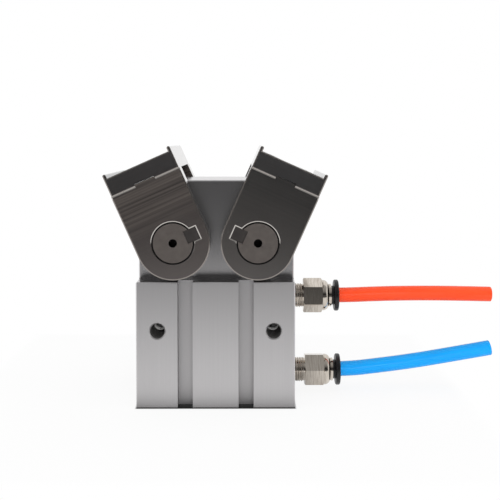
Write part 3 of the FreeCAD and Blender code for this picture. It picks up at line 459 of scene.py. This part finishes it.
def blackened_steel(name, side, streaks, painted_lit_foot_tone, tip_tone, streak_tone):
    """Dark satin oxide; side is -1 on the left and 1 on the right, streaks how far the marks show."""
    material, tree = blank_material(name)
    place = place_mm(tree, (side * PIVOT_X * MM, 0.0, PIVOT_Z * MM), side * REST_LEAN)
    across, depth, height = add(tree, "SeparateXYZ", {"Vector": place}).node.outputs
    stretched = add(tree, "VectorMath", {0: place, 1: GRIND_STREAK}, operation="DIVIDE")
    wheel = add(tree, "TexNoise", {"Vector": stretched, "Scale": 1.0, "Detail": 5.0})
    marks = add(tree, "MapRange", {"Value": wheel, **NOISE_RANGE})
    reach = {"Value": height, **STREAK_SPAN, "To Min": FAINTEST * streaks, "To Max": streaks}
    shown = add(tree, "Math", {0: marks, 1: add(tree, "MapRange", reach)}, operation="MULTIPLY")
    behind = add(tree, "Math", {0: depth}, operation="ABSOLUTE")
    bevel = add(tree, "Math", {0: behind, 1: BEVEL_DEPTH, 2: BEVEL_HALF}, operation="COMPARE")
    outward = add(tree, "Math", {0: across}, operation="ABSOLUTE")
    long_side = add(tree, "Math", {0: outward, 1: SIDE_FROM}, operation="GREATER_THAN")
    seat = add(tree, "Math", {0: height, 1: SEAT_FROM}, operation="GREATER_THAN")
    # Upper half of the bore: painted highlight on its bevel; lower half: dark oxide as painted shade.
    bore = near(tree, place, PIVOT_LINE, KEYWAY_REACH, ALONG_Y)
    level = add(tree, "SeparateXYZ", {"Vector": place_mm(tree)}, out="Z")
    above = add(tree, "Math", {0: level, 1: PIVOT_Z}, operation="GREATER_THAN")
    upper_bore_highlight = add(tree, "Math", {0: bore, 1: above}, operation="MULTIPLY")
    painted_shade = add(tree, "Math", {0: bore, 1: upper_bore_highlight}, operation="SUBTRACT")
    unshaded_bevel = add(tree, "Math", {0: bevel, 1: painted_shade}, operation="SUBTRACT", use_clamp=True)
    bare = add(tree, "Math", {0: unshaded_bevel, 1: long_side}, operation="MAXIMUM")
    smooth = add(tree, "Math", {0: bare, 1: seat}, operation="MAXIMUM")
    # Painted light: the oxide is lighter at the foot round the pivot and darker towards the tip.
    painted_light_fade = add(tree, "MapRange", {"Value": height, **FOOT_TO_TIP})
    oxide = add(tree, "Mix", {0: painted_light_fade, MIX_A: painted_lit_foot_tone, MIX_B: tip_tone}, **COLOUR_MIX)
    streaked = add(tree, "Mix", {0: shown, MIX_A: oxide, MIX_B: streak_tone}, **COLOUR_MIX)
    worn = add(tree, "Mix", {0: bare, MIX_A: streaked, MIX_B: "#8B847F"}, **COLOUR_MIX)
    # Painted highlight: a light grey on the bevels at the seam under the cap and round the upper bore.
    seam = add(tree, "Math", {0: height, 1: SEAM, 2: SEAM_HALF}, operation="COMPARE")
    highlight_places = add(tree, "Math", {0: seam, 1: upper_bore_highlight}, operation="MAXIMUM")
    painted_highlight = add(tree, "Math", {0: bevel, 1: highlight_places}, operation="MULTIPLY")
    cut = add(tree, "Mix", {0: painted_highlight, MIX_A: worn, MIX_B: "#BDB8B3"}, **COLOUR_MIX)
    # Painted shade: the wall of the bore is black, where the gap round the shaft lies in shadow.
    wall = near(tree, place, PIVOT_LINE, BORE_REACH, ALONG_Y)
    tone = add(tree, "Mix", {0: wall, MIX_A: cut, MIX_B: PAINTED_SHADE_BLACK}, **COLOUR_MIX)
    metal = add(tree, "MapRange", {"Value": bare, "To Min": OXIDE_METAL, "To Max": 1.0})
    cloud = add(tree, "TexNoise", {"Vector": place, "Scale": 1.0 / BATH_PATCH, "Detail": 2.0})
    patch = add(tree, "MapRange", {"Value": cloud, **NOISE_RANGE, **OXIDE_GLOSS})
    gloss = add(tree, "MapRange", {"Value": smooth, "To Min": patch, "To Max": SMOOTH_GLOSS})
    relief = add(tree, "Bump", {"Height": shown, "Strength": 0.2, "Distance": 0.03 * MM})
    shader = add(tree, "BsdfPrincipled", {"Base Color": tone, "Metallic": metal, "Roughness": gloss,
                                          "Normal": relief, "Coat Weight": 1.0, "Coat Roughness": 0.14})
    add(tree, "OutputMaterial", {"Surface": shader})
    return material


# The first oxide tone is the painted-lighter foot, the second the darker tip: painted light.
finger_steel = {
    "left_arm": blackened_steel("left_arm_steel", -1, 0.9, "#4A4442", "#2A2524", "#58514C"),
    "right_arm": blackened_steel("right_arm_steel", 1, 0.2, "#474341", "#252423", "#464240"),
    "left_cap": blackened_steel("left_cap_steel", -1, 0.15, "#363332", "#2E2C2C", "#413D3C"),
    "right_cap": blackened_steel("right_cap_steel", 1, 0.15, "#393837", "#2C2B2B", "#403E3E"),
}

# %% [markdown]
# The shafts have the same oxide, thinner and so a little lighter on their ground ends. The centre hole that
# the lathe needs in each end is painted black, as painted shade, and so is the narrow groove between shaft
# and finger. A dark ring could be a piece of its own, but the groove is already in the solids and only
# needs its painted shade.


# %% Shaft steel
# Lengths are in mm: two radii round the shaft's middle line, a depth, and the size of a cloud.
CENTRE_REACH = 1.6
END_REACH, END_FROM = 7.5, 23.4
OXIDE_CLOUD = 2.5
SHAFT_LINE = (PIVOT_X, 0.0, PIVOT_Z)


def shaft_oxide():
    """Oxide over ground steel, cloudy in tone and gloss, black painted shade in centre hole and end groove.
    """
    material, tree = blank_material("shaft_steel")
    place = place_mm(tree)
    cloud = add(tree, "TexNoise", {"Vector": place, "Scale": 1.0 / OXIDE_CLOUD, "Detail": 3.0})
    # Painted shade: the centre hole and the groove round each end are black.
    centre = near(tree, place, SHAFT_LINE, CENTRE_REACH, ALONG_Y)
    face = near(tree, place, SHAFT_LINE, END_REACH, ALONG_Y)
    depth = add(tree, "SeparateXYZ", {"Vector": place}, out="Y")
    behind = add(tree, "Math", {0: depth}, operation="ABSOLUTE")
    end = add(tree, "Math", {0: behind, 1: END_FROM}, operation="GREATER_THAN")
    groove = add(tree, "Math", {0: end, 1: face}, operation="SUBTRACT", use_clamp=True)
    painted_shade = add(tree, "Math", {0: centre, 1: groove}, operation="MAXIMUM")
    patch = add(tree, "MapRange", {"Value": cloud, **NOISE_RANGE})
    oxide = add(tree, "Mix", {0: patch, MIX_A: "#4F4946", MIX_B: "#57514D"}, **COLOUR_MIX)
    tone = add(tree, "Mix", {0: painted_shade, MIX_A: oxide, MIX_B: PAINTED_SHADE_BLACK}, **COLOUR_MIX)
    gloss = add(tree, "MapRange", {"Value": cloud, **NOISE_RANGE, **OXIDE_GLOSS})
    shader = add(tree, "BsdfPrincipled", {"Base Color": tone, "Metallic": OXIDE_METAL, "Roughness": gloss})
    add(tree, "OutputMaterial", {"Surface": shader})
    return material


finishes["shaft_steel"] = shaft_oxide()

# %% [markdown]
# The fittings are brass bars turned on a lathe and nickel plated: bright, slightly warm, with fine tool
# lines round the axis, which here runs along X. An anisotropic shader could stretch the reflections
# instead, but lines in colour, gloss and relief also show on the flats of the hex.


# %% Nickel plate
# A lathe feeds about 0.1 mm each turn. The lines are drawn at 0.26 mm, so that they show.
TOOL_LINE = (0.26, 6.0, 6.0)
PLATE_GLOSS = {"To Min": 0.07, "To Max": 0.16}


def nickel_plate():
    """Bright warm metal with tool lines every few tenths of a millimetre along X."""
    material, tree = blank_material("nickel_plated_brass")
    stretched = add(tree, "VectorMath", {0: place_mm(tree), 1: TOOL_LINE}, operation="DIVIDE")
    lines = add(tree, "TexNoise", {"Vector": stretched, "Scale": 1.0, "Detail": 3.0})
    turned = add(tree, "MapRange", {"Value": lines, **NOISE_RANGE})
    tone = add(tree, "Mix", {0: turned, MIX_A: "#B5ACA1", MIX_B: "#DED6CC"}, **COLOUR_MIX)
    gloss = add(tree, "MapRange", {"Value": lines, **NOISE_RANGE, **PLATE_GLOSS})
    relief = add(tree, "Bump", {"Height": lines, "Strength": 0.1, "Distance": 0.02 * MM})
    shader = add(tree, "BsdfPrincipled", {"Base Color": tone, "Metallic": 1.0, "Roughness": gloss,
                                          "Normal": relief})
    add(tree, "OutputMaterial", {"Surface": shader})
    return material


finishes["nickel_brass"] = nickel_plate()

# %% [markdown]
# The tubes are extruded polyurethane: even, satin colour with a slight inner glow. It could be made as
# clear as glass with a coloured inside, but this plastic lets only a little light through, so most of its
# colour is on the surface and just under it. The die leaves a tone that changes slowly along the tube.


# %% Tube plastic
FLOW_LINE = (30.0, 3.0, 3.0)
GLOW_DEPTH = 0.6 * MM


def polyurethane(name, deep, clear):
    """Soft, slightly see-through tube plastic with a faint change of tone along the extrusion."""
    material, tree = blank_material(name)
    stretched = add(tree, "VectorMath", {0: place_mm(tree), 1: FLOW_LINE}, operation="DIVIDE")
    flow = add(tree, "TexNoise", {"Vector": stretched, "Scale": 1.0, "Detail": 1.0})
    drawn = add(tree, "MapRange", {"Value": flow, **NOISE_RANGE})
    tone = add(tree, "Mix", {0: drawn, MIX_A: deep, MIX_B: clear}, **COLOUR_MIX)
    shader = add(tree, "BsdfPrincipled", {
        "Base Color": tone, "Roughness": 0.25, "IOR": 1.5, "Specular IOR Level": 0.25,
        "Transmission Weight": 0.08, "Subsurface Weight": 0.15, "Subsurface Radius": (1.0, 1.0, 1.0),
        "Subsurface Scale": GLOW_DEPTH})
    add(tree, "OutputMaterial", {"Surface": shader})
    return material


finishes["orange_tube"] = polyurethane("orange_polyurethane", "#FF4C1E", "#FF5428")
finishes["blue_tube"] = polyurethane("blue_polyurethane", "#06A2F6", "#0CAAFB")

# %% [markdown]
# The release rings are moulded acetal, black with a satin skin, and the seals and guide rings inside are
# moulded too. The mould is spark eroded, which gives the skin its fine texture. A roughness alone would
# give the same sheen, but a little relief breaks up the highlight as on the real ring.


# %% Moulded plastics
# A spark-eroded mould has pits of about 0.05 mm. They are drawn six times coarser, so that they show.
MOULD_GRAIN = 0.3


def moulded_plastic(name, dark, light, roughness):
    """Satin moulded plastic with a very fine texture."""
    material, tree = blank_material(name)
    grain = add(tree, "TexNoise", {"Vector": place_mm(tree), "Scale": 1.0 / MOULD_GRAIN, "Detail": 2.0})
    skin = add(tree, "MapRange", {"Value": grain, **NOISE_RANGE})
    tone = add(tree, "Mix", {0: skin, MIX_A: dark, MIX_B: light}, **COLOUR_MIX)
    relief = add(tree, "Bump", {"Height": grain, "Strength": 0.15, "Distance": 0.02 * MM})
    shader = add(tree, "BsdfPrincipled", {"Base Color": tone, "Roughness": roughness, "IOR": 1.48,
                                          "Normal": relief})
    add(tree, "OutputMaterial", {"Surface": shader})
    return material


finishes["release_plastic"] = moulded_plastic("black_acetal", "#09090B", "#111113", 0.38)
finishes["seal_rubber"] = moulded_plastic("nitrile_rubber", "#111111", "#1B1B1B", 0.6)
finishes["guide_plastic"] = moulded_plastic("white_acetal", "#D9D5CB", "#E4E0D7", 0.45)

# %% [markdown]
# The inner pieces are turned, sintered or drawn metals. Little of them shows, so one plain recipe serves
# for all: two close tones, spread by a noise as coarse as the marks of their making. The keys are cut from
# blackened bar, with clouds in the oxide. The thread ridges in the side holes are painted dark grey and
# only partly metal, as painted shade deep in the holes. Each could have a recipe of its own, but it
# wouldn't be seen.


# %% Inner metals
SMOOTHER, ROUGHER = 0.05, 0.07


def plain_metal(name, dark, light, roughness, grain_mm, metallic=1.0):
    """A machined metal for inner and hidden pieces: its grain, in mm, spreads the tone and the gloss."""
    material, tree = blank_material(name)
    stretched = add(tree, "VectorMath", {0: place_mm(tree), 1: grain_mm}, operation="DIVIDE")
    grain = add(tree, "TexNoise", {"Vector": stretched, "Scale": 1.0, "Detail": 3.0})
    cut = add(tree, "MapRange", {"Value": grain, **NOISE_RANGE})
    tone = add(tree, "Mix", {0: cut, MIX_A: dark, MIX_B: light}, **COLOUR_MIX)
    spread = {"To Min": roughness - SMOOTHER, "To Max": roughness + ROUGHER}
    gloss = add(tree, "MapRange", {"Value": cut, **spread})
    shader = add(tree, "BsdfPrincipled", {"Base Color": tone, "Metallic": metallic, "Roughness": gloss})
    add(tree, "OutputMaterial", {"Surface": shader})
    return material


finishes.update({
    "turned_aluminium": plain_metal("turned_aluminium", "#C3C3C6", "#D2D2D5", 0.3, (0.4, 0.4, 3.0)),
    "bush_bronze": plain_metal("sintered_bronze", "#A87C45", "#BE9157", 0.45, (0.3, 0.3, 0.3)),
    "spring_steel": plain_metal("spring_steel", "#6B6865", "#817D79", 0.32, (0.5, 0.5, 0.5)),
    "magnet": plain_metal("bonded_magnet", "#3A3A3C", "#4A4A4C", 0.5, (0.4, 0.4, 0.4)),
    "screw_steel": plain_metal("black_oxide_screws", "#3B3837", "#4B4745", 0.38, (0.6, 0.6, 0.6)),
})
KEY_CLOUD = (OXIDE_CLOUD, OXIDE_CLOUD, OXIDE_CLOUD)
TAP_MARK = (0.3, 0.3, 0.3)
key_steel = plain_metal("key_steel", "#2F2B2A", "#373331", 0.44, KEY_CLOUD, metallic=OXIDE_METAL)
# Painted shade: the thread ridges deep in the side holes are dark grey and only partly metal.
tapped_thread_shade = plain_metal("tapped_aluminium_painted_shade", "#474645", "#555453", 0.45, TAP_MARK,
                               metallic=0.4)

# %% [markdown]
# Each solid takes the finish of its slot in the record, and arms, caps and keys the one that is made for
# them. A finish could be chosen for each of the solids by hand, but a table by slot is shorter and misses
# none.


# %% Finishes on the pieces
def dress(piece, material):
    """Gives a piece one material."""
    piece.data.materials.clear()
    piece.data.materials.append(material)


for row in record["subparts"]:
    node, slot = row["node"], row["material_slot"]
    words = node.split("_")
    finger = finger_steel.get(f"{words[0]}_{words[-1]}") if slot == "dark_steel" else None
    dress(frame["nodes"][node], finger or (key_steel if words[-1] == "key" else finishes[slot]))
for colour, tube in tubes.items():
    dress(tube, finishes[f"{colour}_tube"])
# The hole threads take the dark grey of their painted shade; the fitting threads take nickel.
for ridge, slot in threads:
    dress(ridge, finishes[slot] if slot == "nickel_brass" else tapped_thread_shade)
print("dressed", len(record["subparts"]) + len(tubes) + len(threads), "pieces")

# %% [markdown]
# The studio is a white room. A photograph of one could be wrapped round the scene, but a plain level of
# light is enough. The lens and reflections see it as pure white, which is strength 1. It lights the gripper
# at a lower level, so that colours come out about as they are written.

# %% White room
scene = bpy.context.scene
scene.view_settings.view_transform = "Standard"
ROOM_LIGHT = 0.6
WHITE = (1.0, 1.0, 1.0, 1.0)

world = bpy.data.worlds.new("studio")
world.use_nodes = True
scene.world = world
room = world.node_tree
room.nodes.clear()
ray = add(room, "LightPath").node.outputs
mirrored = add(room, "Math", {0: ray["Is Glossy Ray"], 1: ray["Is Transmission Ray"]}, operation="MAXIMUM")
seen = add(room, "Math", {0: ray["Is Camera Ray"], 1: mirrored}, operation="MAXIMUM")
strength = add(room, "MapRange", {"Value": seen, "To Min": ROOM_LIGHT, "To Max": 1.0})
shine = add(room, "Background", {"Color": WHITE, "Strength": strength})
add(room, "OutputWorld", {"Surface": shine})
print("room light", ROOM_LIGHT)

# %% [markdown]
# The table is one large flat sheet. A plain white surface would turn grey under these lamps, and stronger
# lamps would bleach the gripper, so for the lens most of its white is a glow of strength 1. The rest is
# matt white, which takes the shadow. Round the gripper's foot the glow ends in a painted contact shadow: a
# thin dark line, and dark grey under the gripper, darkest at the foot's edge. In reflections the table is
# dimmer close to the gripper, as a table in shadow is, and black under it.


# %% White table
# The sheet's half side is in metres. The other lengths are in mm: half the gripper's foot, and then how far
# out from its edge each change of the table starts and ends.
TABLE_HALF = 3.0
FOOT_X, FOOT_Y = 30.0, 25.0
# FOOT_LINE and the fade under the foot shape the painted contact shadow round the gripper.
FOOT_LINE = {"From Min": 0.0, "From Max": 0.8}
FOOT_SHADOW_FADE = {"From Min": -4.5, "From Max": 0.0}
LENS_GLOW = 0.88
UNDER_GLOW = 0.03
SHADED = {"From Min": 0.0, "From Max": 18.0, "To Min": 0.35, "To Max": 1.0}
OPEN_SPAN = {"From Min": 20.0, "From Max": 70.0}


def white_table():
    """Matt white that glows for the lens and for reflections, but not under the gripper: painted shadow."""
    material, tree = blank_material("white_table")
    place_x, place_y, _ = add(tree, "SeparateXYZ", {"Vector": place_mm(tree)}).node.outputs
    size_x = add(tree, "Math", {0: place_x}, operation="ABSOLUTE")
    size_y = add(tree, "Math", {0: place_y}, operation="ABSOLUTE")
    beyond_x = add(tree, "Math", {0: size_x, 1: FOOT_X}, operation="SUBTRACT")
    beyond_y = add(tree, "Math", {0: size_y, 1: FOOT_Y}, operation="SUBTRACT")
    outside = add(tree, "Math", {0: beyond_x, 1: beyond_y}, operation="MAXIMUM")
    # Painted contact shadow: a thin dark line round the foot, and dark grey under it, darkest at its edge.
    line = add(tree, "MapRange", {"Value": outside, **FOOT_LINE})
    deep = add(tree, "MapRange", {"Value": outside, **FOOT_SHADOW_FADE})
    under = add(tree, "Mix", {0: deep, MIX_A: "#4A4A4A", MIX_B: "#181818"}, **COLOUR_MIX)
    tone = add(tree, "Mix", {0: line, MIX_A: under, MIX_B: "#FAFAFA"}, **COLOUR_MIX)
    open_table = add(tree, "MapRange", {"Value": outside, **OPEN_SPAN})
    close_table = add(tree, "Math", {0: line, 1: LENS_GLOW}, operation="MULTIPLY")
    lens_share = add(tree, "Math", {0: close_table, 1: open_table}, operation="MAXIMUM")
    ray = add(tree, "LightPath").node.outputs
    glossy, through = ray["Is Glossy Ray"], ray["Is Transmission Ray"]
    mirrored = add(tree, "Math", {0: glossy, 1: through}, operation="MAXIMUM")
    shaded = add(tree, "MapRange", {"Value": outside, **SHADED})
    dim = add(tree, "MapRange", {"Value": line, "To Min": UNDER_GLOW, "To Max": shaded})
    strength = add(tree, "MapRange", {"Value": ray["Is Camera Ray"], "To Min": dim, "To Max": 1.0})
    share = add(tree, "MapRange", {"Value": ray["Is Camera Ray"], "To Min": mirrored, "To Max": lens_share})
    matt = add(tree, "BsdfPrincipled", {"Base Color": tone, "Roughness": 0.9})
    light = add(tree, "Emission", {"Color": WHITE, "Strength": strength})
    add(tree, "OutputMaterial", {"Surface": add(tree, "MixShader", {0: share, 1: matt, 2: light})})
    return material


def stage_surface(name, points, material):
    """A backdrop piece from a grid of corners."""
    surface = grid_mesh(name, points, close_columns=False)
    surface.data.materials.append(material)
    return surface


edges = np.array([-TABLE_HALF, TABLE_HALF])
table_x, table_y = np.meshgrid(edges, edges)
stage_surface("table", np.dstack([table_x, table_y, np.zeros((2, 2))]), white_table())

# %% [markdown]
# A dark sweep runs over the gripper from the table in front of it to the ceiling, and only reflections see
# it: it is the dim end of the room that gives bare metal its dark tones. It is darkest straight ahead and
# paler above. The foot of the gripper reflects white table, and its top reflects the dark. Its profile is a
# row of corners: how far in front of the gripper, how high, and how bright there. A picture of a studio
# could do the same, but a few corners are easy to fit to what the metal shows, from the foot of the gripper
# up. Blender blends the brightness from each corner to the next.


# %% Dark sweep
# Lengths are in metres.
SWEEP_HALF = 1.5
LIFT = 0.0005
SWEEP = np.array([(-0.15, LIFT, 1.0), (-0.2, LIFT, 0.8), (-0.26, LIFT, 0.48), (-0.36, LIFT, 0.26),
                  (-0.44, LIFT, 0.06), (-0.9, LIFT, 0.01), (-1.0, 0.05, 0.11), (-1.0, 0.12, 0.16),
                  (-1.0, 0.17, 0.04), (-1.0, 0.4, 0.03), (-0.95, 0.7, 0.24), (-0.75, 1.05, 0.4),
                  (-0.3, 1.2, 0.46), (0.1, 1.2, 0.52)])


def dim_room():
    """A glow of the level that is stored at each corner of the sweep."""
    material, tree = blank_material("dim_room")
    level = add(tree, "Attribute", out="Fac", attribute_name="level")
    light = add(tree, "Emission", {"Color": WHITE, "Strength": level})
    add(tree, "OutputMaterial", {"Surface": light})
    return material


profile = np.repeat(SWEEP[:, None, :], 2, axis=1)
sideways = np.broadcast_to([-SWEEP_HALF, SWEEP_HALF], profile.shape[:2])
sweep = stage_surface("sweep", np.dstack([sideways, profile[:, :, 0], profile[:, :, 1]]), dim_room())
sweep.data.attributes.new("level", "FLOAT", "POINT").data.foreach_set("value", profile[:, :, 2].ravel())
for kind in ("camera", "diffuse", "transmission", "volume_scatter", "shadow"):
    setattr(sweep, f"visible_{kind}", False)
print("sweep levels", SWEEP[:, 2].min(), "to", SWEEP[:, 2].max())

# %% [markdown]
# Three square lamps light what isn't metal: the oxide, the plastics and the table. A large one hangs
# overhead, a weak one fills from the left, and one in front reaches into the side holes. A sun lamp would
# give hard shadows, so all are broad. Reflections don't show them, because the sweep already gives the
# metal its tones.


# %% Lamps
# Places and sizes are in metres.
LAMP_AIM = Vector((0.02, 0.0, 0.05))


def soft_lamp(name, place, size, power):
    """A square lamp that looks at the gripper and that no reflection shows."""
    lamp = bpy.data.lights.new(name, "AREA")
    lamp.shape = "SQUARE"
    lamp.size = size
    lamp.energy = power
    holder = bpy.data.objects.new(name, lamp)
    holder.location = place
    holder.rotation_euler = (LAMP_AIM - Vector(place)).to_track_quat("-Z", "Y").to_euler()
    holder.visible_glossy = False
    scene.collection.objects.link(holder)
    print(name, "lamp", power, "W")


soft_lamp("overhead", place=(0.1, -0.1, 1.1), size=0.9, power=3.4)
soft_lamp("left_side", place=(-0.9, -0.3, 0.6), size=0.6, power=0.8)
soft_lamp("front", place=(0.1, -0.9, 0.22), size=0.35, power=4.0)
